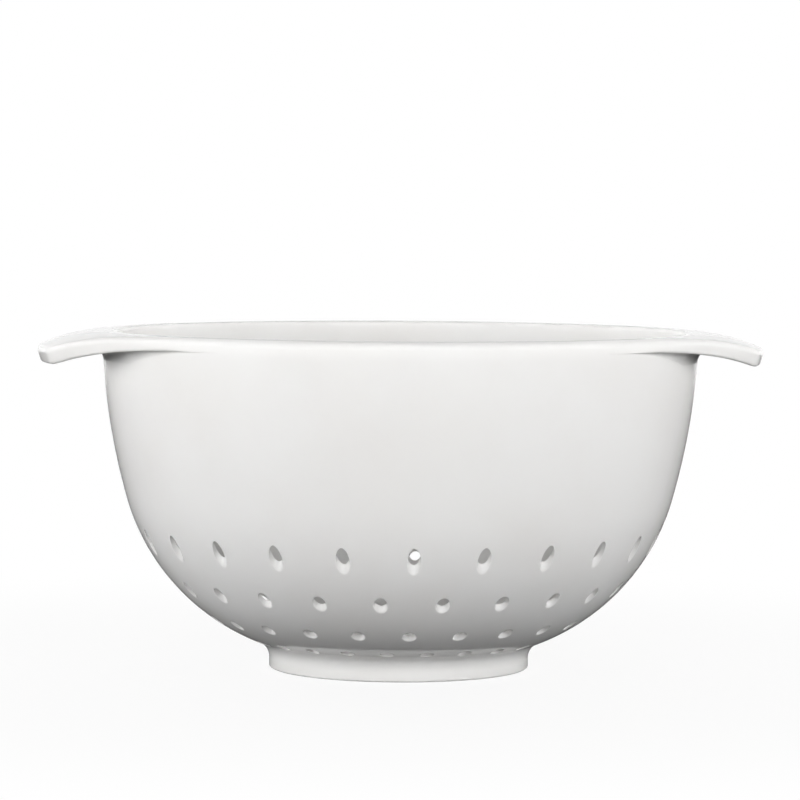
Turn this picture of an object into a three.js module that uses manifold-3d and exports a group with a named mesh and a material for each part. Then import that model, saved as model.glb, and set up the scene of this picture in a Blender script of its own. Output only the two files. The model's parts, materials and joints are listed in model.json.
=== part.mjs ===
// Colander: a moulded melamine bowl with drain holes, a rounded rim, two ear handles and a foot ring.
// Millimetres, +Z up. The origin is on the table under the bowl's axis, and +X runs through the right handle.
// The real colander is one moulding. Here its zones are separate bodies that meet face to face.

import * as THREE from 'three';
import { mergeVertices } from 'three/addons/utils/BufferGeometryUtils.js';
import Module from 'manifold-3d';

const wasm = await Module();
wasm.setup();

// Bowl, all sizes on the outside of the wall
const HEIGHT = 135.5;
const RIM_RADIUS = 119.75;
const RIM_LEAN = 1.5;
const SIDE_ARC_RADIUS = 274.5;
const BELLY_ARC_RADIUS = 87.2;
const FLOOR_RISE = 4.8;

// Wall thickness over the strainer, and how late the wall thickens on its way up to the rim
const WALL = 2;
const THICKENING_POWER = 1.25;

// Rim band: its depth, and its rounded top from outside to inside
const RIM_BAND = 10;
const RIM_OUTER_ROUND = 3.4;
const RIM_CROWN = 0.2;
const RIM_INNER_ROUND = 1.6;

// Drain holes, as left by upright pins in the mould
const HOLE_RADIUS = 2.8;
const HOLES_AROUND = 24;
const TOP_ROW_INSET = 16.75;
const SECOND_ROW_STEP = 12.1;
const THIRD_ROW_STEP = 15.3;
const LOWEST_ROW_GAP = 7.2;
const STRAINER_MARGIN = 4;

// Drain holes in the floor, inside the foot ring, in rings of a multiple of six
const FLOOR_ROW_GAP = 2;
const FLOOR_ROW_STEP = 15;
const FLOOR_HOLE_PITCH = 12;
const FLOOR_HOLE_MULTIPLE = 6;

// Foot ring
const FOOT_RADIUS = 52.2;
const FOOT_WALL = 4.8;
const FOOT_FILLET = 6.7;
const FOOT_OUTER_ROUND = 0.8;
const FOOT_INNER_ROUND = 1;

// Ear handles, drooping away from the rim. The end face leans in below the rounded upper edge.
const EAR_REACH = 25.55;
const EAR_THICKNESS = 5.35;
const EAR_TIP_THICKNESS = 6.75;
const EAR_DROOP_RADIUS = 65;
const EAR_DROOP_INSET = 1.75;
const EAR_END_LEAN = 17.5;
const EAR_UPPER_ROUND = 2.4;
const EAR_LOWER_ROUND = 1.2;
const EAR_CORNER_RADIUS = 12;
const EAR_END_HALF_ANGLE = 15;
const EAR_FADE = 1;
const EAR_TRIM_SPARE = 0.6;

// Gap between bodies that meet along a curved face
const SEAM = 0.3;

// Fineness of the round surfaces
const TURN_STEPS = 48;
const BELLY_STEPS = 4;
const SIDE_STEPS = 4;
const ROUND_STEPS = 4;
const SMALL_ROUND_STEPS = 2;
const CORNER_STEPS = 8;
const HOLE_SIDES = 10;
const LEAN_TOLERANCE = 1e-9;

const MELAMINE = { color: 0xeeedea, roughness: 0.22, metalness: 0 };

const radians = THREE.MathUtils.degToRad;
const point = (r, z) => new THREE.Vector2(r, z);

// The wall's outline is two tangent arcs, each followed by its lean from the vertical.
// The side arc runs from the rim's lean to the knee's, and the belly arc from the knee to the level floor.
const rimLean = radians(RIM_LEAN);
const bellyCentreHeight = FLOOR_RISE + BELLY_ARC_RADIUS;
const kneeLean = Math.asin(
  (HEIGHT - bellyCentreHeight + SIDE_ARC_RADIUS * Math.sin(rimLean)) / (SIDE_ARC_RADIUS - BELLY_ARC_RADIUS),
);
const sideCentre = point(
  RIM_RADIUS - SIDE_ARC_RADIUS * Math.cos(rimLean),
  HEIGHT + SIDE_ARC_RADIUS * Math.sin(rimLean),
);
const floorRadius = sideCentre.x + (SIDE_ARC_RADIUS - BELLY_ARC_RADIUS) * Math.cos(kneeLean);
const bellyCentre = point(floorRadius, bellyCentreHeight);
const levelLean = Math.PI / 2;

function wallPoint(lean, depth) {
  const onSide = lean < kneeLean;
  const centre = onSide ? sideCentre : bellyCentre;
  const radius = (onSide ? SIDE_ARC_RADIUS : BELLY_ARC_RADIUS) - depth;
  return point(centre.x + radius * Math.cos(lean), centre.y - radius * Math.sin(lean));
}

const rimWall = RIM_OUTER_ROUND + RIM_CROWN + RIM_INNER_ROUND;

function wallThickness(lean) {
  const rise = Math.max(0, (kneeLean - lean) / (kneeLean - rimLean));
  return WALL + (rimWall - WALL) * rise ** THICKENING_POWER;
}

const outerWall = (lean) => wallPoint(lean, 0);
const innerWall = (lean) => wallPoint(lean, wallThickness(lean));

// Lean at which a wall outline passes a height or a radius, both of which fall as the lean grows
function leanWhere(outline, coordinate, value) {
  let low = rimLean;
  let high = levelLean;
  while (high - low > LEAN_TOLERANCE) {
    const middle = (low + high) / 2;
    if (outline(middle)[coordinate] > value) {
      low = middle;
    } else {
      high = middle;
    }
  }
  return (low + high) / 2;
}

const leanAtHeight = (outline, z) => leanWhere(outline, 'y', z);
const leanAtRadius = (outline, r) => leanWhere(outline, 'x', r);

function sweep(outline, fromLean, toLean, steps) {
  return Array.from({ length: steps + 1 }, (_, i) => {
    const lean = THREE.MathUtils.lerp(fromLean, toLean, i / steps);
    return outline(lean);
  });
}

function arc(centre, radius, fromAngle, toAngle, steps = ROUND_STEPS) {
  return Array.from({ length: steps + 1 }, (_, i) => {
    const angle = THREE.MathUtils.lerp(fromAngle, toAngle, i / steps);
    return point(centre.x + radius * Math.cos(angle), centre.y + radius * Math.sin(angle));
  });
}

// Bodies of revolution, from a section that runs anticlockwise in radius and height
function turn(section) {
  const closed = section[0].x === 0 ? section : [...section, section[0]];
  return new THREE.LatheGeometry(closed, TURN_STEPS).rotateX(Math.PI / 2);
}

function solid(geometry) {
  const plain = geometry.clone();
  plain.deleteAttribute('normal');
  plain.deleteAttribute('uv');
  const merged = mergeVertices(plain);
  const corners = merged.index.array;
  const triangles = [];
  for (let i = 0; i < corners.length; i += 3) {
    const [a, b, c] = corners.slice(i, i + 3);
    if (a !== b && b !== c && c !== a) {
      triangles.push(a, b, c);
    }
  }
  return new wasm.Manifold(new wasm.Mesh({
    numProp: 3,
    vertProperties: Float32Array.from(merged.attributes.position.array),
    triVerts: Uint32Array.from(triangles),
  }));
}

function geometryOf(body) {
  const mesh = body.getMesh();
  const geometry = new THREE.BufferGeometry();
  geometry.setAttribute('position', new THREE.BufferAttribute(mesh.vertProperties, 3));
  geometry.setIndex(new THREE.BufferAttribute(mesh.triVerts, 1));
  geometry.computeVertexNormals();
  return geometry;
}

const colander = new THREE.Group();
colander.name = 'colander';

function addPart(name, geometry) {
  const part = new THREE.Mesh(geometry, new THREE.MeshStandardMaterial(MELAMINE));
  part.name = name;
  colander.add(part);
}

// Rows of drain holes. Rows alternate, so that each hole faces the web between two holes of the next row.
const topRowRadius = RIM_RADIUS - TOP_ROW_INSET;
const secondRowRadius = topRowRadius - SECOND_ROW_STEP;
const thirdRowRadius = secondRowRadius - THIRD_ROW_STEP;
const lowestRowRadius = FOOT_RADIUS + LOWEST_ROW_GAP;

const footBoreRadius = FOOT_RADIUS - FOOT_WALL;
const floorRows = [];
for (let r = footBoreRadius - FLOOR_ROW_GAP - HOLE_RADIUS; r > HOLE_RADIUS * 2; r -= FLOOR_ROW_STEP) {
  floorRows.push(r);
}

function pinRow(radius, count, halfStep) {
  const pins = [];
  for (let i = 0; i < count; i += 1) {
    const angle = (i + (halfStep ? 0.5 : 0)) * 2 * Math.PI / count;
    const pin = new THREE.CylinderGeometry(HOLE_RADIUS, HOLE_RADIUS, HEIGHT, HOLE_SIDES);
    pin.rotateX(Math.PI / 2);
    pin.rotateZ(angle);
    pin.translate(radius * Math.cos(angle), radius * Math.sin(angle), HEIGHT / 2);
    pins.push(solid(pin));
  }
  return pins;
}

function pierce(body, pins) {
  return pins.reduce((pierced, pin) => pierced.subtract(pin), body);
}

// Rim band, with its rounded top edges
const rimBase = HEIGHT - RIM_BAND;
const rimOuterBase = leanAtHeight(outerWall, rimBase);
const rimInnerBase = leanAtHeight(innerWall, rimBase);
const rimRoundStart = leanAtHeight(outerWall, HEIGHT - RIM_OUTER_ROUND);
const rimRoundCentre = point(outerWall(rimRoundStart).x - RIM_OUTER_ROUND, HEIGHT - RIM_OUTER_ROUND);
const rimInnerCentre = point(rimRoundCentre.x - RIM_CROWN, HEIGHT - RIM_INNER_ROUND);

addPart('rim_ring', turn([
  ...sweep(outerWall, rimOuterBase, rimRoundStart, 1),
  ...arc(rimRoundCentre, RIM_OUTER_ROUND, 0, Math.PI / 2).slice(1),
  ...arc(rimInnerCentre, RIM_INNER_ROUND, Math.PI / 2, Math.PI, SMALL_ROUND_STEPS),
  innerWall(rimInnerBase),
]));

// Plain side wall, from the rim band down to the strainer
const strainerTop = innerWall(leanAtRadius(innerWall, topRowRadius + HOLE_RADIUS)).y + STRAINER_MARGIN;
const strainerOuterTop = leanAtHeight(outerWall, strainerTop);
const strainerInnerTop = leanAtHeight(innerWall, strainerTop);

addPart('side_wall', turn([
  ...sweep(outerWall, strainerOuterTop, rimOuterBase, SIDE_STEPS),
  ...sweep(innerWall, rimInnerBase, strainerInnerTop, SIDE_STEPS),
]));

// Foot ring, filleted into the underside of the bowl
const footTop = BELLY_ARC_RADIUS + SEAM;
const filletCentreRadius = FOOT_RADIUS + FOOT_FILLET;
const filletAngle = -Math.acos((filletCentreRadius - bellyCentre.x) / (footTop + FOOT_FILLET));
const filletCentreHeight = bellyCentre.y + (footTop + FOOT_FILLET) * Math.sin(filletAngle);
const filletCentre = point(filletCentreRadius, filletCentreHeight);
const footBoreAngle = -Math.acos((footBoreRadius - bellyCentre.x) / footTop);
const footOuterCentre = point(FOOT_RADIUS - FOOT_OUTER_ROUND, FOOT_OUTER_ROUND);
const footInnerCentre = point(footBoreRadius + FOOT_INNER_ROUND, FOOT_INNER_ROUND);

addPart('foot_ring', turn([
  ...arc(footInnerCentre, FOOT_INNER_ROUND, Math.PI, Math.PI * 1.5, SMALL_ROUND_STEPS),
  ...arc(footOuterCentre, FOOT_OUTER_ROUND, -Math.PI / 2, 0, SMALL_ROUND_STEPS),
  ...arc(filletCentre, FOOT_FILLET, Math.PI, Math.PI + filletAngle),
  ...arc(bellyCentre, footTop, filletAngle, footBoreAngle).slice(1),
]));

// Strainer: two pierced bands of two hole rows each, and the pierced floor.
// The bands part between the second and third rows. The floor parts over the middle of the foot ring.
const footMiddleRadius = FOOT_RADIUS - FOOT_WALL / 2;
const floorEdge = footMiddleRadius - SEAM / 2;
const strainerEdge = footMiddleRadius + SEAM / 2;
const middleWall = (lean) => wallPoint(lean, WALL / 2);
const bandSplit = middleWall(leanAtRadius(middleWall, (secondRowRadius + thirdRowRadius) / 2)).y;
const bandOuterSplit = leanAtHeight(outerWall, bandSplit);
const bandInnerSplit = leanAtHeight(innerWall, bandSplit);
const upperBand = turn([
  ...sweep(outerWall, bandOuterSplit, strainerOuterTop, BELLY_STEPS),
  ...sweep(innerWall, strainerInnerTop, bandInnerSplit, BELLY_STEPS),
]);
const upperPins = [
  ...pinRow(topRowRadius, HOLES_AROUND, false),
  ...pinRow(secondRowRadius, HOLES_AROUND, true),
];
addPart('upper_strainer_band', geometryOf(pierce(solid(upperBand), upperPins)));

const lowerBand = turn([
  ...sweep(outerWall, leanAtRadius(outerWall, strainerEdge), bandOuterSplit, BELLY_STEPS),
  ...sweep(innerWall, bandInnerSplit, leanAtRadius(innerWall, strainerEdge), BELLY_STEPS),
]);
const lowerPins = [
  ...pinRow(thirdRowRadius, HOLES_AROUND, false),
  ...pinRow(lowestRowRadius, HOLES_AROUND, true),
];
addPart('lower_strainer_band', geometryOf(pierce(solid(lowerBand), lowerPins)));

const floor = turn([
  point(0, FLOOR_RISE),
  ...sweep(outerWall, levelLean, leanAtRadius(outerWall, floorEdge), ROUND_STEPS),
  ...sweep(innerWall, leanAtRadius(innerWall, floorEdge), levelLean, ROUND_STEPS),
  point(0, FLOOR_RISE + WALL),
]);
const floorPins = floorRows.flatMap((radius, row) => {
  const sixes = Math.round(2 * Math.PI * radius / FLOOR_HOLE_PITCH / FLOOR_HOLE_MULTIPLE);
  return pinRow(radius, FLOOR_HOLE_MULTIPLE * sixes, row % 2 === 1);
});
addPart('strainer_floor', geometryOf(pierce(solid(floor), floorPins)));

// Ear handles: a drooping flange turned about the bowl's axis, trimmed to the ear's outline in plan.
// The flange's top is an arc, followed by its droop from the level.
const earEndRadius = RIM_RADIUS + EAR_REACH;
const droopStart = RIM_RADIUS - EAR_DROOP_INSET;
const droopCentre = point(droopStart, HEIGHT - EAR_DROOP_RADIUS);

function earPoint(droop, depth) {
  const radius = EAR_DROOP_RADIUS - depth;
  return point(droopCentre.x + radius * Math.sin(droop), droopCentre.y + radius * Math.cos(droop));
}

function earSection() {
  const root = RIM_RADIUS + SEAM;
  const rootDroop = Math.asin((root - droopStart) / EAR_DROOP_RADIUS);
  const endLean = radians(EAR_END_LEAN);
  const endNormal = point(Math.cos(endLean), -Math.sin(endLean));

  // The upper round reaches furthest out, and the lower round touches the same end face.
  const upperSpan = earEndRadius - EAR_UPPER_ROUND - droopStart;
  const upperDroop = Math.asin(upperSpan / (EAR_DROOP_RADIUS - EAR_UPPER_ROUND));
  const upperCentre = earPoint(upperDroop, EAR_UPPER_ROUND);
  const lowerDepth = EAR_TIP_THICKNESS - EAR_LOWER_ROUND;
  const lowerSpan = endNormal.dot(upperCentre.clone().sub(droopCentre)) + EAR_UPPER_ROUND - EAR_LOWER_ROUND;
  const lowerDroop = endLean + Math.asin(lowerSpan / (EAR_DROOP_RADIUS - lowerDepth));
  const lowerCentre = earPoint(lowerDroop, lowerDepth);

  const top = [];
  const underside = [];
  for (let i = 0; i <= ROUND_STEPS; i += 1) {
    const share = i / ROUND_STEPS;
    const depth = THREE.MathUtils.lerp(EAR_THICKNESS, EAR_TIP_THICKNESS, share);
    top.push(earPoint(THREE.MathUtils.lerp(rootDroop, upperDroop, share), 0));
    underside.push(earPoint(THREE.MathUtils.lerp(rootDroop, lowerDroop, share), depth));
  }
  const seatRound = RIM_OUTER_ROUND + SEAM;
  const seatTop = Math.asin(RIM_OUTER_ROUND / seatRound);
  return [
    point(root, underside[0].y),
    ...underside.slice(1),
    ...arc(lowerCentre, EAR_LOWER_ROUND, -Math.PI / 2 - lowerDroop, -endLean, SMALL_ROUND_STEPS).slice(1),
    ...arc(upperCentre, EAR_UPPER_ROUND, -endLean, Math.PI / 2 - upperDroop),
    ...top.slice(0, -1).reverse(),
    point(droopStart, HEIGHT),
    ...arc(rimRoundCentre, seatRound, seatTop, 0, SMALL_ROUND_STEPS),
  ];
}

function earOutline() {
  const trimRadius = earEndRadius + EAR_TRIM_SPARE;
  const endHalfAngle = radians(EAR_END_HALF_ANGLE);
  const cornerCentreRadius = trimRadius - EAR_CORNER_RADIUS;
  const sideAngle = endHalfAngle + Math.acos((RIM_RADIUS - EAR_CORNER_RADIUS) / cornerCentreRadius);
  const fadeAngle = sideAngle - Math.acos(RIM_RADIUS / (RIM_RADIUS + EAR_FADE));
  const fade = point(Math.cos(fadeAngle), Math.sin(fadeAngle)).multiplyScalar(RIM_RADIUS + EAR_FADE);
  const corner = point(Math.cos(endHalfAngle), Math.sin(endHalfAngle)).multiplyScalar(cornerCentreRadius);
  const outline = new THREE.Shape();
  outline.moveTo(0, 0);
  outline.lineTo(fade.x, -fade.y);
  outline.absarc(corner.x, -corner.y, EAR_CORNER_RADIUS, -sideAngle, -endHalfAngle, false);
  outline.absarc(0, 0, trimRadius, -endHalfAngle, endHalfAngle, false);
  outline.absarc(corner.x, corner.y, EAR_CORNER_RADIUS, endHalfAngle, sideAngle, false);
  outline.lineTo(fade.x, fade.y);
  outline.closePath();
  return outline;
}

const flange = solid(turn(earSection()));
const earTrim = new THREE.ExtrudeGeometry(earOutline(), {
  depth: HEIGHT + RIM_BAND,
  bevelEnabled: false,
  curveSegments: CORNER_STEPS,
});
const ear = geometryOf(flange.intersect(solid(earTrim)));
addPart('handle_right', ear);
addPart('handle_left', ear.clone().rotateZ(Math.PI));

export default colander;
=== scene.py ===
import json
import math

import bmesh
import bpy
from bpy.props import FloatProperty, FloatVectorProperty, IntProperty, PointerProperty
from bpy.types import Operator, Panel, PropertyGroup
from mathutils import Matrix, Vector

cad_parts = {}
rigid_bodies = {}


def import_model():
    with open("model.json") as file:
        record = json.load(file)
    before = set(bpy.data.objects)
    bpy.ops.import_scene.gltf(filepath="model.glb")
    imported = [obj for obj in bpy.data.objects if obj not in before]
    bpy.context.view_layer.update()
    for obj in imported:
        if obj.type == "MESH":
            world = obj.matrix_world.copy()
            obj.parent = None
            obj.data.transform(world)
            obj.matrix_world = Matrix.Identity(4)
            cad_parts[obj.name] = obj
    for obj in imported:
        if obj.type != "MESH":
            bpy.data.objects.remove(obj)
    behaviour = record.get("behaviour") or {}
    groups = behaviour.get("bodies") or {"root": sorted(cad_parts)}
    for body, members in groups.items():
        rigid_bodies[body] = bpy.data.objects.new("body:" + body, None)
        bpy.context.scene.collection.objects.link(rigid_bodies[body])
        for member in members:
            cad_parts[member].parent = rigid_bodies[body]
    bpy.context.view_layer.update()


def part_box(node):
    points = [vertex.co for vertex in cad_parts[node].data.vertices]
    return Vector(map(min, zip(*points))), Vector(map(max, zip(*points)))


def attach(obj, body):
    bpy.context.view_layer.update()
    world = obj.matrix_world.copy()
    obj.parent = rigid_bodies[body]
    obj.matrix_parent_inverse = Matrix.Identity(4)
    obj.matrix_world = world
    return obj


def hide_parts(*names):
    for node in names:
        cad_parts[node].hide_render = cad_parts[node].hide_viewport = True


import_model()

bl_info = {
    "name": "Moulded Colander",
    "version": (1, 0, 0),
    "blender": (4, 5, 0),
    "location": "View3D > Sidebar > Colander",
    "description": "Models a colander with a foot ring, ear handles and rings of drain holes",
    "category": "Object",
}

BODY = "root"
UP = Vector((0, 0, 1))
LEVEL = math.pi / 2

# Fineness of the meshes
TURN_STEPS = 192
HOLE_SIDES = 32
CELL_SIDE_STEPS = HOLE_SIDES // 4
WEB_SHARES = (0.3, 0.64, 1.0)
OVER_FOOT_STEPS = 4
WALL_STEPS = 22
RIM_STEPS = 8
EDGE_STEPS = 6
BEVEL_STEPS = 2
HANDLE_STEPS = 132
HANDLE_TOP_STEPS = 12
HANDLE_UNDER_STEPS = 10
SEED_SIZE = 0.01
MERGE_DISTANCE = 2e-6
RING_TOLERANCE = MERGE_DISTANCE * 5
SHARP_ANGLE = math.radians(20)
SMOOTH_ANGLE = math.radians(40)

# Rounds of the searches for a place on a curve
LEAN_ROUNDS = 48
UNDER_EDGE_ROUNDS = 8
FILLET_ROUNDS = 6

# Melamine: scale and detail of each noise, and the part of its range that is used
MELAMINE_IOR = 1.6
CLOUD_NOISE = (22, 4)
CLOUD_RANGE = (0.3, 0.62)
MARK_NOISE = (90, 6)
MARK_RANGE = (0.3, 0.7)
WAVE_NOISE = (160, 3)
WAVE_STRENGTH = 0.25
WAVE_HEIGHT = 0.00006

# Floor: its size, and its tone to each kind of ray; the tones to bounce light and to reflections
# are painted shade
FLOOR_SIDES = 96
FLOOR_RADIUS = 2.5
FLOOR_GAP = 0.0002
FLOOR_TONE = 0.95
# Painted shade: dark grey to bounce light, so the bowl's underside gets little light from the
# floor
FLOOR_BOUNCE_PAINTED_SHADE = 0.08
# Painted shade: dark grey in reflections, a shaded floor seen in the bowl's underside
FLOOR_MIRRORED_PAINTED_SHADE = 0.1

# White of the floor: its share near the object, and the distances over which it grows to 1
FLOOR_SEEN_WHITE = (0.9, 0.08, 0.4)
# In reflections the floor shows its painted shade near the object and turns white from 1.2 m to
# 2.4 m out
FLOOR_MIRRORED_WHITE = (0.0, 1.2, 2.4)

CAMERA_CLIP_START = 0.05

# Sideways part of a direction over which the front and back panels give way to the side panels
SIDE_PANELS_START, SIDE_PANELS_END = 0.58, 0.82

# Brightness of the light panels by the height in the sky, from 0 at the horizon to 1 overhead
HIGH_PANELS = ((0.0, 0.0), (0.21, 0.0), (0.3, 1.0), (0.49, 1.0), (0.59, 0.0), (1.0, 0.0))
LOW_PANELS = ((0.0, 1.0), (0.08, 1.0), (0.16, 0.35), (0.3, 0.0), (1.0, 0.0))
HORIZON = ((0.0, 1.0), (0.08, 1.0), (0.14, 0.0), (1.0, 0.0))
ROOF = ((0.0, 0.1), (0.65, 0.1), (0.8, 1.0), (1.0, 1.0))


def number(name, description, default, **options):
    return FloatProperty(name=name, description=description, default=default, **options)


def length(name, description, default):
    return number(name, description, default, precision=5, unit="LENGTH")


def angle(name, description, degrees):
    return number(name, description, math.radians(degrees), subtype="ANGLE")


def colour(name, description, default):
    return FloatVectorProperty(
        name=name, description=description, default=default, subtype="COLOR"
    )


class ColanderBowlSizes(PropertyGroup):
    """Bowl sizes, with the outline taken on the outside of the wall."""

    height: length("Height", "Table to the top of the rim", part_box("rim_ring")[1].z)
    rim_radius: length("Rim radius", "Radius of the wall's outline at the top of the rim", 0.11975)
    rim_lean: angle("Rim lean", "Lean of the wall from the vertical at the rim", 1.5)
    side_arc: length("Side arc", "Radius of the upper wall's outline", 0.2745)
    belly_arc: length("Belly arc", "Radius of the lower wall's outline", 0.0872)
    floor_rise: length(
        "Floor rise", "Table to the underside of the floor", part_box("strainer_floor")[0].z
    )
    wall: length("Wall", "Wall thickness over the strainer", 0.002)
    outer_round: length("Outer round", "Round on the outside of the rim", 0.0034)
    crown: length("Crown", "Flat on top of the rim", 0.0002)
    inner_round: length("Inner round", "Round on the inside of the rim", 0.0016)
    thickening: number(
        "Thickening", "How late the wall thickens on its way up to the rim", 1.25
    )


class ColanderStrainerSizes(PropertyGroup):
    """Drain holes, as left by upright pins in the mould."""

    hole_radius: length("Hole radius", "Radius of a drain hole", 0.0026)
    hole_round: length("Hole round", "Width of the rounded edge of a drain hole", 0.0003)
    collar: length("Collar", "Width of the ring of faces around a drain hole", 0.0008)
    holes_around: IntProperty(
        name="Holes around", description="Drain holes in a row of the wall", default=24
    )
    top_row: length("Top row", "Radius of the top row of drain holes", 0.103)
    second_row: length("Second row", "Radius of the second row of drain holes", 0.0909)
    third_row: length("Third row", "Radius of the third row of drain holes", 0.0756)
    lowest_row: length(
        "Lowest row", "Radius of the lowest row in the wall, outside the foot ring", 0.0594
    )
    floor_row: length(
        "Floor row", "Radius of the outer row in the floor, inside the foot ring", 0.0424
    )
    floor_step: length("Floor step", "Distance between the rows in the floor", 0.015)
    margin: length("Margin", "Least web beside a drain hole at the edge of its row", 0.0015)


class ColanderHandleSizes(PropertyGroup):
    """Ear handles that droop away from the rim."""

    reach: length("Reach", "Bowl axis to the handle's tip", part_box("handle_right")[1].x)
    thickness: length("Thickness", "Thickness at the rim", 0.00535)
    tip_thickness: length("Tip thickness", "Thickness at the tip", 0.00675)
    droop_radius: length("Droop radius", "Radius of the handle's drooping top", 0.065)
    droop_inset: length(
        "Droop inset", "Distance inside the rim radius at which the droop starts", 0.00175
    )
    corner_radius: length("Corner radius", "Radius of the handle's corners in plan", 0.012)
    end_half_angle: angle(
        "End half angle", "Half the angle of the handle's end arc about the bowl axis", 15
    )
    end_lean: angle("End lean", "Lean of the end face from the vertical at the tip", 17.5)
    upper_round: length("Upper round", "Round on the upper edge at the tip", 0.0024)
    lower_round: length("Lower round", "Round on the lower edge", 0.0012)
    root_fillet: length("Root fillet", "Fillet between the handle's underside and the wall", 0.006)


class ColanderFootSizes(PropertyGroup):
    """Foot ring under the bowl."""

    radius: length("Radius", "Outer radius of the foot ring", 0.0522)
    wall: length("Wall", "Thickness of the foot ring", 0.0048)
    fillet: length("Fillet", "Fillet between the foot ring and the bowl outside", 0.0074)
    inner_fillet: length(
        "Inner fillet", "Fillet between the foot ring and the bowl inside", 0.0012
    )
    outer_round: length("Outer round", "Round on the outer edge of the foot", 0.0008)
    inner_round: length("Inner round", "Round on the inner edge of the foot", 0.001)


class ColanderFinish(PropertyGroup):
    """Glossy white melamine."""

    white: colour("White", "Main colour of the melamine", (0.86, 0.855, 0.845))
    cloud: colour("Cloud", "Colour of the faint clouds in the melamine", (0.835, 0.825, 0.81))
    gloss: number("Gloss", "Lowest roughness of the surface", 0.06, subtype="FACTOR")
    wear: number("Wear", "Highest roughness of the surface", 0.12, subtype="FACTOR")


class ColanderStage(PropertyGroup):
    """Camera and light as in the photograph."""

    distance: length("Distance", "Bowl axis to the camera, on the level", 1.4788)
    eye_height: length("Eye height", "Table to the camera", 0.1891)
    aim_height: length("Aim height", "Height on the bowl axis that the camera looks at", 0.1075)
    turn: angle("Turn", "Turn of the camera about the bowl axis, towards the left handle", 3.15)
    roll: angle("Roll", "Roll of the camera", 0.35)
    lens: number("Lens", "Focal length in millimetres", 165.6)
    high_panels: number(
        "High panels", "Brightness of the panels halfway up, in front and behind", 4.3
    )
    low_panels: number("Low panels", "Brightness of the panels low down at the sides", 9.0)
    horizon: number("Horizon", "Brightness low down in front and behind", 3.7)
    roof: number("Roof", "Brightness overhead", 0.55)
    lopsided: number("Lopsided", "How much brighter the left side is", 0.06)


class ColanderSettings(PropertyGroup):
    """All settings of the colander."""

    bowl: PointerProperty(type=ColanderBowlSizes)
    strainer: PointerProperty(type=ColanderStrainerSizes)
    handle: PointerProperty(type=ColanderHandleSizes)
    foot: PointerProperty(type=ColanderFootSizes)
    finish: PointerProperty(type=ColanderFinish)
    stage: PointerProperty(type=ColanderStage)


def arc(centre, radius, start, end, steps):
    """Points on an arc in the plane of radius and height."""
    turns = [start + (end - start) * i / steps for i in range(steps + 1)]
    return [centre + radius * Vector((math.cos(t), math.sin(t))) for t in turns]


class BowlWall:
    """The wall's outline: a side arc and a belly arc, traced by the lean from the vertical."""

    def __init__(self, sizes):
        self.sizes = sizes
        belly_height = sizes.floor_rise + sizes.belly_arc
        side_height = sizes.height + sizes.side_arc * math.sin(sizes.rim_lean)
        spare = sizes.side_arc - sizes.belly_arc
        self.knee = math.asin((side_height - belly_height) / spare)
        side_radius = sizes.rim_radius - sizes.side_arc * math.cos(sizes.rim_lean)
        self.side_centre = Vector((side_radius, side_height))
        self.belly_centre = Vector((side_radius + spare * math.cos(self.knee), belly_height))
        self.rim_wall = sizes.outer_round + sizes.crown + sizes.inner_round
        start = self.lean_at(self.outer, 1, sizes.height - sizes.outer_round)
        self.round_start = start
        self.round_centre = self.outer(start) - Vector((sizes.outer_round, 0))

    def point(self, lean, depth):
        on_side = lean < self.knee
        centre = self.side_centre if on_side else self.belly_centre
        radius = (self.sizes.side_arc if on_side else self.sizes.belly_arc) - depth
        return centre + radius * Vector((math.cos(lean), -math.sin(lean)))

    def outer(self, lean):
        return self.point(lean, 0)

    def inner(self, lean):
        rise = max(0, (self.knee - lean) / (self.knee - self.sizes.rim_lean))
        extra = (self.rim_wall - self.sizes.wall) * rise**self.sizes.thickening
        return self.point(lean, self.sizes.wall + extra)

    def lean_at(self, outline, axis, value):
        """Lean at which an outline passes a radius (axis 0) or a height (axis 1)."""
        low, high = self.sizes.rim_lean, LEVEL
        for _ in range(LEAN_ROUNDS):
            middle = (low + high) / 2
            if outline(middle)[axis] > value:
                low = middle
            else:
                high = middle
        return low

    def height_at(self, outline, radius):
        """Height of an outline over a place in plan."""
        return outline(self.lean_at(outline, 0, max(radius, self.belly_centre.x)))[1]


def in_plane(point):
    """A point of radius and height, in the plane through the axis and the right handle."""
    return Vector((point[0], 0, point[1]))


def around(radius, turn, height=0.0):
    return Vector((radius * math.cos(turn), radius * math.sin(turn), height))


def settings():
    return bpy.context.scene.colander


def begin(name):
    """A new mesh object in edit mode, with one vertex at the origin, selected."""
    bpy.ops.object.select_all(action="DESELECT")
    bpy.ops.mesh.primitive_plane_add(size=SEED_SIZE, location=(0, 0, 0))
    piece = bpy.context.object
    piece.name = name
    piece.data.name = name
    bpy.ops.object.mode_set(mode="EDIT")
    bpy.ops.mesh.select_mode(type="VERT")
    bpy.ops.mesh.merge(type="CENTER")
    return piece


def editing():
    return bmesh.from_edit_mesh(bpy.context.object.data)


def updated():
    bmesh.update_edit_mesh(bpy.context.object.data)


def selected():
    return [vertex for vertex in editing().verts if vertex.select]


def draw_outline(points):
    """Draws the selected vertex, at the origin, along the points."""
    bpy.ops.transform.translate(value=points[0])
    for here, there in zip(points, points[1:]):
        bpy.ops.mesh.extrude_region_move(TRANSFORM_OT_translate={"value": there - here})


def turn_outline():
    """Turns the linked outline about the bowl's axis."""
    bpy.ops.mesh.select_linked()
    bpy.ops.mesh.spin(steps=TURN_STEPS, angle=2 * math.pi, center=(0, 0, 0), axis=UP)


def select_vertices(test):
    mesh = editing()
    bpy.ops.mesh.select_all(action="DESELECT")
    for vertex in mesh.verts:
        vertex.select = test(vertex)
    mesh.select_flush_mode()
    updated()


def merge_all():
    """Selects everything and merges doubled vertices."""
    bpy.ops.mesh.select_all(action="SELECT")
    bpy.ops.mesh.remove_doubles(threshold=MERGE_DISTANCE)


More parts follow.
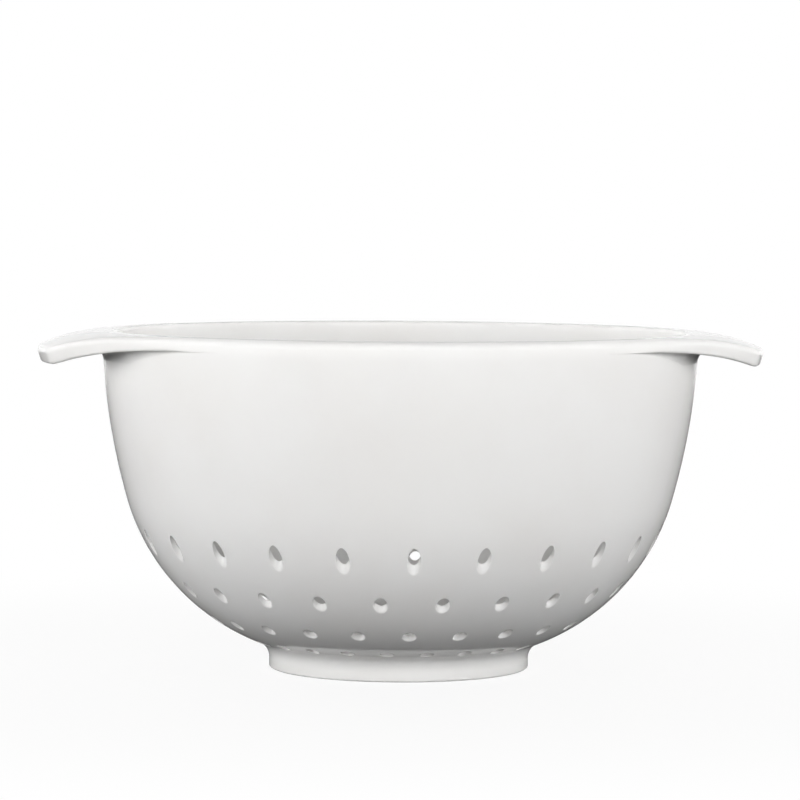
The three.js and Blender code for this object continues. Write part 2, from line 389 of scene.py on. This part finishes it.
def heal():
    """Merges doubled vertices, deletes loose edges and turns every face outwards."""
    merge_all()
    bpy.ops.mesh.delete_loose()
    bpy.ops.mesh.select_all(action="SELECT")
    bpy.ops.mesh.normals_make_consistent(inside=False)


def finish_piece(piece, material, *nodes):
    """Smooths the piece and hands it to the frame in place of its CAD nodes."""
    bpy.ops.object.mode_set(mode="OBJECT")
    bpy.ops.object.shade_smooth_by_angle(angle=SMOOTH_ANGLE)
    piece.data.materials.clear()
    piece.data.materials.append(material)
    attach(piece, BODY)
    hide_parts(*nodes)


class StrainerRow:
    """One ring of drain holes, and the cell in plan that each hole sits in."""

    def __init__(self, radius, count, half_step, inner_edge, outer_edge):
        self.radius = radius
        self.count = count
        self.step = 2 * math.pi / count
        self.first = self.step / 2 if half_step else 0.0
        self.inner_edge = inner_edge
        self.outer_edge = outer_edge

    def cell_edge(self):
        """Points around the cell, from its inner right corner, a quarter of them on each side."""
        left, right = self.first + self.step / 2, self.first - self.step / 2
        shares = [i / CELL_SIDE_STEPS for i in range(CELL_SIDE_STEPS)]
        inner, outer = self.inner_edge, self.outer_edge
        edge = [around(inner + (outer - inner) * s, right) for s in shares]
        edge += [around(outer, right + self.step * s) for s in shares]
        edge += [around(outer + (inner - outer) * s, left) for s in shares]
        edge += [around(inner, left - self.step * s) for s in shares]
        return edge

    def ring(self, radius):
        """Points on a circle about the first hole, in the order of the cell's edge."""
        centre = around(self.radius, self.first)
        start = self.first - math.pi * 3 / 4
        turns = [start + 2 * math.pi * i / HOLE_SIDES for i in range(HOLE_SIDES)]
        return [centre + around(radius, turn) for turn in turns]


def move_ring(before, after):
    """Moves each selected vertex from its place in one ring to its place in the next."""
    for vertex in selected():
        nearest = min(range(len(before)), key=lambda i: (vertex.co - before[i]).length_squared)
        vertex.co = after[nearest]
    updated()


def add_row(row, sizes):
    """A flat ring of cells, modelled as one cell round a hole and copied about the axis."""
    hole = row.ring(sizes.hole_radius)
    collar = row.ring(sizes.hole_radius + sizes.collar)
    edge = row.cell_edge()
    web = [[a.lerp(b, share) for a, b in zip(collar, edge)] for share in WEB_SHARES]
    bpy.ops.mesh.primitive_circle_add(
        vertices=HOLE_SIDES,
        radius=sizes.hole_radius,
        location=around(row.radius, row.first),
        rotation=(0, 0, row.first),
    )
    move_ring(hole, hole)
    before = hole
    for after in [collar, *web]:
        bpy.ops.mesh.extrude_edges_move()
        move_ring(before, after)
        before = after
    bpy.ops.mesh.select_linked()
    copies = row.count - 1
    bpy.ops.mesh.spin(steps=copies, dupli=True, angle=row.step * copies, center=(0, 0, 0), axis=UP)


def select_rings(*rings):
    """Selects the vertices of a sheet on rings about the axis."""

    def on_ring(vertex):
        radius = vertex.co.xy.length
        return any(abs(radius - ring) < RING_TOLERANCE for ring in rings)

    select_vertices(on_ring)


def draw_in(outer, inner, steps):
    """Extrudes an open ring of a flat sheet inwards, onto a ring with as many vertices."""
    select_rings(outer)
    for step in range(1, steps + 1):
        bpy.ops.mesh.extrude_edges_move()
        radius = outer + (inner - outer) * step / steps
        for vertex in selected():
            vertex.co.xy = vertex.co.xy.normalized() * radius
        updated()
    merge_all()


def fill_between(outer, inner):
    """Fills the gap between two open rings of a flat sheet."""
    select_rings(outer, inner)
    bpy.ops.mesh.fill(use_beauty=True)


def strainer_rows(strainer):
    """The rows of holes in the wall and in the floor, each from the outside inwards."""
    count = strainer.holes_around
    reach = strainer.hole_radius + strainer.margin
    radii = (strainer.top_row, strainer.second_row, strainer.third_row, strainer.lowest_row)
    edges = [
        radii[0] + reach,
        *((outer + inner) / 2 for outer, inner in zip(radii, radii[1:])),
        radii[-1] - reach,
    ]
    wall_rows = [
        StrainerRow(radius, count, i % 2 == 1, edges[i + 1], edges[i])
        for i, radius in enumerate(radii)
    ]
    floor_rows = []
    radius = strainer.floor_row
    for half_step in (False, True, False):
        floor_rows.append(StrainerRow(radius, count, half_step, radius - reach, radius + reach))
        radius, count = radius - strainer.floor_step, count // 2
    return wall_rows, floor_rows


def pierced_sheet(wall, strainer):
    """The strainer, drawn flat, raised to the bowl's outside and extruded up to its inside."""
    wall_rows, floor_rows = strainer_rows(strainer)
    for row in [*wall_rows, *floor_rows]:
        add_row(row, strainer)
    merge_all()
    draw_in(wall_rows[-1].inner_edge, floor_rows[0].outer_edge, OVER_FOOT_STEPS)
    for outer_row, inner_row in zip(floor_rows, floor_rows[1:]):
        fill_between(outer_row.inner_edge, inner_row.outer_edge)
    select_rings(floor_rows[-1].inner_edge)
    bpy.ops.mesh.edge_face_add()

    for vertex in editing().verts:
        vertex.co.z = wall.height_at(wall.outer, vertex.co.xy.length)
    updated()
    bpy.ops.mesh.select_all(action="SELECT")
    bpy.ops.mesh.extrude_region_move()
    for vertex in selected():
        vertex.co.z = wall.height_at(wall.inner, vertex.co.xy.length)
    updated()
    border = wall_rows[0].outer_edge
    select_rings(border)
    bpy.ops.mesh.delete(type="ONLY_FACE")
    return border


def wall_outline(wall, border):
    """The plain wall and the rim, from the strainer's border up, over the rim and down again."""
    sizes = wall.sizes
    low_outside = wall.lean_at(wall.outer, 0, border)
    low_inside = wall.lean_at(wall.inner, 0, border)
    inner_centre = Vector((wall.round_centre.x - sizes.crown, sizes.height - sizes.inner_round))
    high_inside = wall.lean_at(wall.inner, 1, inner_centre.y - sizes.inner_round)
    steps = [i / WALL_STEPS for i in range(WALL_STEPS + 1)]
    outside = [wall.outer(low_outside + (wall.round_start - low_outside) * s) for s in steps]
    outer_round = arc(wall.round_centre, sizes.outer_round, 0, LEVEL, RIM_STEPS)
    inner_round = arc(inner_centre, sizes.inner_round, LEVEL, math.pi, EDGE_STEPS)
    inside = [wall.inner(high_inside + (low_inside - high_inside) * s) for s in steps]
    return [in_plane(p) for p in [*outside, *outer_round[1:], *inner_round, *inside]]


class ColanderMakeBowl(Operator):
    """Turn the rim and side wall, and pierce the strainer below them"""

    bl_idname = "colander.make_bowl"
    bl_label = "Bowl"

    def execute(self, context):
        chosen = settings()
        wall = BowlWall(chosen.bowl)
        piece = begin("bowl")
        bpy.ops.mesh.delete(type="VERT")
        border = pierced_sheet(wall, chosen.strainer)
        bpy.ops.mesh.primitive_plane_add(size=SEED_SIZE, location=(0, 0, 0))
        bpy.ops.mesh.merge(type="CENTER")
        draw_outline(wall_outline(wall, border))
        turn_outline()
        heal()
        bpy.ops.mesh.select_all(action="DESELECT")
        bpy.ops.mesh.select_mode(type="EDGE")
        bpy.ops.mesh.edges_select_sharp(sharpness=SHARP_ANGLE)
        bpy.ops.mesh.bevel(
            offset=chosen.strainer.hole_round, segments=BEVEL_STEPS, affect="EDGES"
        )
        finish_piece(
            piece,
            melamine(chosen.finish),
            "rim_ring",
            "side_wall",
            "upper_strainer_band",
            "lower_strainer_band",
            "strainer_floor",
        )
        return {"FINISHED"}


def foot_outline(wall, foot):
    """Section of the foot ring, with its top sunk into the bowl's underside."""
    belly, radius = wall.belly_centre, wall.sizes.belly_arc
    bore = foot.radius - foot.wall

    def fillet_at(side, size):
        """Centre of a fillet beside the foot, and its direction from the belly's centre."""
        turn = -math.acos((side - belly.x) / (radius + size))
        return belly + (radius + size) * Vector((math.cos(turn), math.sin(turn))), turn

    outer_fillet, outer_turn = fillet_at(foot.radius + foot.fillet, foot.fillet)
    inner_fillet, inner_turn = fillet_at(bore - foot.inner_fillet, foot.inner_fillet)
    outer_round = Vector((foot.radius - foot.outer_round, foot.outer_round))
    inner_round = Vector((bore + foot.inner_round, foot.inner_round))
    sunk = wall.sizes.wall / 2
    top = arc(belly, radius - sunk, outer_turn, inner_turn, EDGE_STEPS)
    section = [
        *arc(inner_round, foot.inner_round, math.pi, math.pi * 1.5, EDGE_STEPS),
        *arc(outer_round, foot.outer_round, -LEVEL, 0, EDGE_STEPS),
        *arc(outer_fillet, foot.fillet, math.pi, math.pi + outer_turn, RIM_STEPS),
        *top,
        *arc(inner_fillet, foot.inner_fillet, math.pi + inner_turn, 0, RIM_STEPS),
    ]
    return [in_plane(p) for p in [*section, section[0]]]


class ColanderMakeFoot(Operator):
    """Turn the foot ring under the bowl"""

    bl_idname = "colander.make_foot"
    bl_label = "Foot Ring"

    def execute(self, context):
        chosen = settings()
        piece = begin("foot_ring_piece")
        draw_outline(foot_outline(BowlWall(chosen.bowl), chosen.foot))
        turn_outline()
        heal()
        finish_piece(piece, melamine(chosen.finish), "foot_ring")
        return {"FINISHED"}


class EarShape:
    """Section of an ear handle at any angle about the bowl's axis."""

    HIDDEN_SINK = 0.0015
    HEART_DROP = 0.2
    SPARE_TURN = math.radians(3)
    SPARE_SHRINK = 0.12
    BLEND_WIDTH = 0.012
    LARGEST_ROUND_SHARE = 0.45
    LEAST_ROUND = 2e-5

    def __init__(self, wall, sizes):
        self.wall = wall
        self.sizes = sizes
        self.height = wall.sizes.height
        self.root = wall.round_centre.x + wall.sizes.outer_round
        self.droop_start = wall.sizes.rim_radius - sizes.droop_inset
        self.corner_centre = sizes.reach - sizes.corner_radius
        spread = math.acos((self.root - sizes.corner_radius) / self.corner_centre)
        self.fade = sizes.end_half_angle + spread
        corner = around(self.corner_centre, sizes.end_half_angle)
        touch = corner + around(sizes.corner_radius, self.fade)
        self.corner_end = math.atan2(touch.y, touch.x)
        self.half_turn = self.fade + self.SPARE_TURN
        self.lean_share = sizes.end_lean / self.edge_droop(sizes.reach, sizes.upper_round)
        self.heart = wall.round_centre + Vector((0, -wall.sizes.outer_round * self.HEART_DROP))

    def plan(self, turn):
        """Radius of the handle's outline in plan."""
        turn = min(abs(turn), self.fade)
        apart = turn - self.sizes.end_half_angle
        if apart <= 0:
            return self.sizes.reach
        if turn >= self.corner_end:
            return self.root / math.cos(self.fade - turn)
        offset = self.corner_centre * math.sin(apart)
        beyond = math.sqrt(self.sizes.corner_radius**2 - offset**2)
        return self.corner_centre * math.cos(apart) + beyond

    def droop(self, radius):
        return math.asin(max(0, radius - self.droop_start) / self.sizes.droop_radius)

    def edge_droop(self, out, upper):
        """Droop of the top where it meets the round of its upper edge."""
        span = max(0, out - upper - self.droop_start)
        return math.asin(span / (self.sizes.droop_radius - upper))

    def upper_round(self, width):
        """Round of the upper edge, which is the rim's own where the handle fades into it."""
        ease = min(1, width / self.BLEND_WIDTH)
        ease = ease * ease * (3 - 2 * ease)
        rim_round = self.wall.sizes.outer_round
        return rim_round + (self.sizes.upper_round - rim_round) * ease

    def across(self, radius, depth):
        """Point at a depth square to the drooping top."""
        droop = self.droop(radius)
        top = self.height - self.sizes.droop_radius * (1 - math.cos(droop))
        return Vector((radius - depth * math.sin(droop), top - depth * math.cos(droop)))

    def depth(self, radius):
        """Thickness at a radius."""
        sizes = self.sizes
        share = max(0, (radius - self.root) / (sizes.reach - self.root))
        return sizes.thickness + (sizes.tip_thickness - sizes.thickness) * share

    def section(self, turn):
        """Closed section: top, rounded edge, underside, root fillet and the side in the rim."""
        sizes = self.sizes
        out = self.plan(turn)
        width = out - self.root
        upper = self.upper_round(width)
        largest = self.LARGEST_ROUND_SHARE * width + self.LEAST_ROUND
        lower = min(sizes.lower_round, largest)
        fillet = min(sizes.root_fillet, largest)

        droop = self.edge_droop(out, upper)
        edge = out - upper * (1 - math.sin(droop))
        upper_centre = self.across(edge, upper)
        lean = self.lean_share * droop
        face = Vector((math.cos(lean), -math.sin(lean)))
        under = edge
        for _ in range(UNDER_EDGE_ROUNDS):
            lower_centre = self.across(under, self.depth(under) - lower)
            under += upper - lower - (lower_centre - upper_centre).dot(face)
        depth = self.depth(under)
        rounds = [
            *arc(upper_centre, upper, LEVEL - droop, -lean, RIM_STEPS),
            *arc(lower_centre, lower, -lean, -LEVEL - self.droop(under), RIM_STEPS),
        ]

        foot_height = self.height - depth - fillet
        for _ in range(FILLET_ROUNDS):
            wall_lean = self.wall.lean_at(self.wall.outer, 1, foot_height)
            touch = self.wall.outer(wall_lean)
            centre = touch + fillet * Vector((math.cos(wall_lean), -math.sin(wall_lean)))
            ceiling = self.across(centre.x, self.depth(centre.x) + fillet)
            foot_height += ceiling.y - centre.y

        start = self.wall.round_centre.x - self.wall.sizes.crown / 2
        top = [
            self.across(start + (edge - start) * i / HANDLE_TOP_STEPS, 0)
            for i in range(HANDLE_TOP_STEPS)
        ]
        shares = [i / HANDLE_UNDER_STEPS for i in range(1, HANDLE_UNDER_STEPS)]
        radii = [under + (centre.x - under) * share for share in shares]
        underside = [self.across(radius, self.depth(radius)) for radius in radii]
        points = [
            *top,
            *rounds,
            *underside,
            *arc(centre, fillet, LEVEL - self.droop(centre.x), math.pi - wall_lean, RIM_STEPS),
            touch - Vector((self.HIDDEN_SINK, 0)),
            Vector((self.wall.round_centre.x, self.height - self.wall.sizes.outer_round)),
        ]
        spare = max(0, abs(turn) - self.fade) / self.SPARE_TURN
        return [self.heart.lerp(p, 1 - self.SPARE_SHRINK * spare) for p in points]


def ear_handle(name, shape, middle):
    """One handle: its section, spun about the bowl's axis and drawn in to the outline in plan."""
    piece = begin(name)
    section = shape.section(0)
    first = middle - shape.half_turn
    draw_outline([around(p[0], first, p[1]) for p in [*section, section[0]]])
    merge_all()
    bpy.ops.mesh.edge_face_add()
    bpy.ops.mesh.spin(steps=HANDLE_STEPS, angle=-2 * shape.half_turn, center=(0, 0, 0), axis=UP)
    for vertex in editing().verts:
        place = Vector((vertex.co.xy.length, vertex.co.z))
        station = min(range(len(section)), key=lambda i: (section[i] - place).length_squared)
        turn = math.atan2(vertex.co.y, vertex.co.x) - middle
        turn = (turn + math.pi) % (2 * math.pi) - math.pi
        radius, height = shape.section(turn)[station]
        vertex.co = around(radius, middle + turn, height)
    updated()
    bpy.ops.mesh.select_all(action="SELECT")
    bpy.ops.mesh.normals_make_consistent(inside=False)
    return piece


class ColanderMakeHandles(Operator):
    """Draw the two ear handles out of the rim"""

    bl_idname = "colander.make_handles"
    bl_label = "Ear Handles"

    def execute(self, context):
        chosen = settings()
        shape = EarShape(BowlWall(chosen.bowl), chosen.handle)
        for side, middle in (("right", 0.0), ("left", math.pi)):
            piece = ear_handle(f"ear_handle_{side}", shape, middle)
            finish_piece(piece, melamine(chosen.finish), f"handle_{side}")
        return {"FINISHED"}


def melamine(finish):
    """Glossy white melamine, faintly clouded, with the slight waviness of a moulded surface."""
    name = "white_melamine"
    if name in bpy.data.materials:
        return bpy.data.materials[name]
    material = bpy.data.materials.new(name)
    material.use_nodes = True
    nodes, links = material.node_tree.nodes, material.node_tree.links
    shader = nodes["Principled BSDF"]
    shader.inputs["IOR"].default_value = MELAMINE_IOR
    place = nodes.new("ShaderNodeTexCoord")

    def noise(label, scale, detail):
        node = nodes.new("ShaderNodeTexNoise")
        node.label = label
        node.inputs["Scale"].default_value = scale
        node.inputs["Detail"].default_value = detail
        links.new(place.outputs["Object"], node.inputs["Vector"])
        return node.outputs["Fac"]

    clouds = nodes.new("ShaderNodeValToRGB")
    stops = zip(clouds.color_ramp.elements, CLOUD_RANGE, (finish.cloud, finish.white))
    for stop, position, tint in stops:
        stop.position = position
        stop.color = (*tint, 1)
    links.new(noise("clouds", *CLOUD_NOISE), clouds.inputs["Fac"])
    links.new(clouds.outputs["Color"], shader.inputs["Base Color"])

    sheen = nodes.new("ShaderNodeMapRange")
    sheen.inputs["From Min"].default_value, sheen.inputs["From Max"].default_value = MARK_RANGE
    sheen.inputs["To Min"].default_value = finish.gloss
    sheen.inputs["To Max"].default_value = finish.wear
    links.new(noise("handling marks", *MARK_NOISE), sheen.inputs["Value"])
    links.new(sheen.outputs["Result"], shader.inputs["Roughness"])

    bump = nodes.new("ShaderNodeBump")
    bump.inputs["Strength"].default_value = WAVE_STRENGTH
    bump.inputs["Distance"].default_value = WAVE_HEIGHT
    links.new(noise("moulding waviness", *WAVE_NOISE), bump.inputs["Height"])
    links.new(bump.outputs["Normal"], shader.inputs["Normal"])
    return material


def math_node(tree, operation, *values):
    """Result of a math node that is fed with sockets and numbers."""
    node = tree.nodes.new("ShaderNodeMath")
    node.operation = operation
    for socket, value in zip(node.inputs, values):
        if isinstance(value, bpy.types.NodeSocket):
            tree.links.new(value, socket)
        else:
            socket.default_value = value
    return node.outputs["Value"]


def soft_step(tree, value, start, end, first=0.0):
    """A number that changes softly to 1 while a value goes from its start to its end."""
    node = tree.nodes.new("ShaderNodeMapRange")
    node.interpolation_type = "SMOOTHSTEP"
    node.inputs["From Min"].default_value = start
    node.inputs["From Max"].default_value = end
    node.inputs["To Min"].default_value = first
    tree.links.new(value, node.inputs["Value"])
    return node.outputs["Result"]


def by_height(tree, height, label, stops):
    """A brightness that changes softly with the height in the sky."""
    node = tree.nodes.new("ShaderNodeFloatCurve")
    node.label = label
    curve = node.mapping.curves[0]
    for point, stop in zip(curve.points, (stops[0], stops[-1])):
        point.location = stop
    for place, tone in stops[1:-1]:
        curve.points.new(place, tone)
    node.mapping.update()
    tree.links.new(height, node.inputs["Value"])
    return node.outputs["Value"]


def panel_light(tree, stage):
    """Brightness of the light tent in each direction."""
    place = tree.nodes.new("ShaderNodeTexCoord")
    axes = tree.nodes.new("ShaderNodeSeparateXYZ")
    tree.links.new(place.outputs["Generated"], axes.inputs["Vector"])
    sideways, height = axes.outputs["X"], axes.outputs["Z"]

    def panel(label, stops, brightness):
        return math_node(tree, "MULTIPLY", by_height(tree, height, label, stops), brightness)

    high = panel("front and back", HIGH_PANELS, stage.high_panels)
    low = panel("sides", LOW_PANELS, stage.low_panels)
    horizon = panel("horizon", HORIZON, stage.horizon)
    roof = panel("overhead", ROOF, stage.roof)
    tilt = math_node(tree, "MULTIPLY", sideways, -stage.lopsided)
    sides = math_node(tree, "MULTIPLY", low, math_node(tree, "ADD", tilt, 1.0))
    apart = math_node(tree, "ABSOLUTE", sideways)

    panels = tree.nodes.new("ShaderNodeMix")
    turned = soft_step(tree, apart, SIDE_PANELS_START, SIDE_PANELS_END)
    tree.links.new(turned, panels.inputs["Factor"])
    tree.links.new(math_node(tree, "ADD", high, horizon), panels.inputs["A"])
    tree.links.new(sides, panels.inputs["B"])
    return math_node(tree, "ADD", panels.outputs["Result"], roof)


def light_tent(stage):
    """World light as in a light tent with soft panels, and white where the world is seen."""
    world = bpy.data.worlds.new("light_tent")
    bpy.context.scene.world = world
    world.use_nodes = True
    tree = world.node_tree
    background = tree.nodes["Background"]
    background.inputs["Color"].default_value = (1, 1, 1, 1)
    path = tree.nodes.new("ShaderNodeLightPath")
    seen = path.outputs["Is Camera Ray"]
    for ray in ("Is Glossy Ray", "Is Transmission Ray"):
        seen = math_node(tree, "MAXIMUM", seen, path.outputs[ray])
    strength = tree.nodes.new("ShaderNodeMix")
    strength.inputs["B"].default_value = 1.0
    tree.links.new(seen, strength.inputs["Factor"])
    tree.links.new(panel_light(tree, stage), strength.inputs["A"])
    tree.links.new(strength.outputs["Result"], background.inputs["Strength"])


def grey(tone):
    return (tone, tone, tone, 1)


def floor_material():
    """Pale floor that keeps a soft shadow close to the foot and turns white away from it. To
    bounce light, and to reflections near the object, it is painted shade of dark grey.
    """
    material = bpy.data.materials.new("pale_floor")
    material.use_nodes = True
    tree = material.node_tree
    nodes, links = tree.nodes, tree.links
    nodes.remove(nodes["Principled BSDF"])
    path = nodes.new("ShaderNodeLightPath")

    def mixed(share, first, second):
        mix = nodes.new("ShaderNodeMixShader")
        for socket, value in zip(mix.inputs, (share, first, second)):
            links.new(value, socket)
        return mix.outputs["Shader"]

    # Pale to the camera, painted shade of dark grey to bounce light
    tone = nodes.new("ShaderNodeMix")
    tone.data_type = "RGBA"
    tone.inputs["A"].default_value = grey(FLOOR_TONE)
    tone.inputs["B"].default_value = grey(FLOOR_BOUNCE_PAINTED_SHADE)
    links.new(path.outputs["Is Diffuse Ray"], tone.inputs["Factor"])
    matt = nodes.new("ShaderNodeBsdfDiffuse")
    links.new(tone.outputs["Result"], matt.inputs["Color"])
    # Painted shade: dark grey floor for reflections, seen near the object
    painted_shade_matt = nodes.new("ShaderNodeBsdfDiffuse")
    painted_shade_matt.inputs["Color"].default_value = grey(FLOOR_MIRRORED_PAINTED_SHADE)
    lit_with_painted_shade = mixed(path.outputs["Is Glossy Ray"], matt.outputs["BSDF"], painted_shade_matt.outputs["BSDF"])

    place = nodes.new("ShaderNodeTexCoord")
    reach = nodes.new("ShaderNodeVectorMath")
    reach.operation = "LENGTH"
    links.new(place.outputs["Object"], reach.inputs[0])

    def white_for(rays, near_share, near, far):
        """How white the floor is to some rays, from near the object to further out."""
        share = soft_step(tree, reach.outputs["Value"], near, far, near_share)
        return math_node(tree, "MULTIPLY", rays, share)

    indirect = (path.outputs["Is Glossy Ray"], path.outputs["Is Transmission Ray"])
    mirrored = white_for(math_node(tree, "MAXIMUM", *indirect), *FLOOR_MIRRORED_WHITE)
    seen = white_for(path.outputs["Is Camera Ray"], *FLOOR_SEEN_WHITE)
    glow = nodes.new("ShaderNodeEmission")
    top = mixed(math_node(tree, "MAXIMUM", seen, mirrored), lit_with_painted_shade, glow.outputs["Emission"])

    side = nodes.new("ShaderNodeNewGeometry")
    clear = nodes.new("ShaderNodeBsdfTransparent")
    one_sided = mixed(side.outputs["Backfacing"], top, clear.outputs["BSDF"])
    links.new(one_sided, nodes["Material Output"].inputs["Surface"])
    return material


class ColanderSetStage(Operator):
    """Set the floor, the light tent and the camera"""

    bl_idname = "colander.set_stage"
    bl_label = "Stage"

    def execute(self, context):
        stage = settings().stage
        bpy.ops.object.select_all(action="DESELECT")
        bpy.ops.mesh.primitive_circle_add(
            vertices=FLOOR_SIDES,
            radius=FLOOR_RADIUS,
            fill_type="NGON",
            location=(0, 0, -FLOOR_GAP),
        )
        floor = context.object
        floor.name = "floor"
        floor.data.materials.append(floor_material())
        light_tent(stage)

        camera = bpy.data.objects.new("camera", bpy.data.cameras.new("camera"))
        context.scene.collection.objects.link(camera)
        camera.data.lens = stage.lens
        camera.data.clip_start = CAMERA_CLIP_START
        turned = -LEVEL - stage.turn
        camera.location = around(stage.distance, turned, stage.eye_height)
        look = Vector((0, 0, stage.aim_height)) - camera.location
        camera.rotation_mode = "QUATERNION"
        roll = Matrix.Rotation(stage.roll, 3, "Z").to_quaternion()
        camera.rotation_quaternion = look.to_track_quat("-Z", "Y") @ roll
        context.scene.camera = camera
        context.scene.view_settings.view_transform = "Standard"
        return {"FINISHED"}


STEPS = (ColanderMakeBowl, ColanderMakeFoot, ColanderMakeHandles, ColanderSetStage)


class ColanderPanel(Panel):
    """Lists the steps of the colander"""

    bl_idname = "VIEW3D_PT_colander"
    bl_label = "Moulded Colander"
    bl_space_type = "VIEW_3D"
    bl_region_type = "UI"
    bl_category = "Colander"

    def draw(self, context):
        for step in STEPS:
            self.layout.operator(step.bl_idname)


CLASSES = (
    ColanderBowlSizes,
    ColanderStrainerSizes,
    ColanderHandleSizes,
    ColanderFootSizes,
    ColanderFinish,
    ColanderStage,
    ColanderSettings,
    *STEPS,
    ColanderPanel,
)


def register():
    for item in CLASSES:
        bpy.utils.register_class(item)
    bpy.types.Scene.colander = PointerProperty(type=ColanderSettings)


def unregister():
    del bpy.types.Scene.colander
    for item in reversed(CLASSES):
        bpy.utils.unregister_class(item)


def main():
    register()
    bpy.ops.colander.make_bowl()
    bpy.ops.colander.make_foot()
    bpy.ops.colander.make_handles()
    bpy.ops.colander.set_stage()


if __name__ == "__main__":
    main()
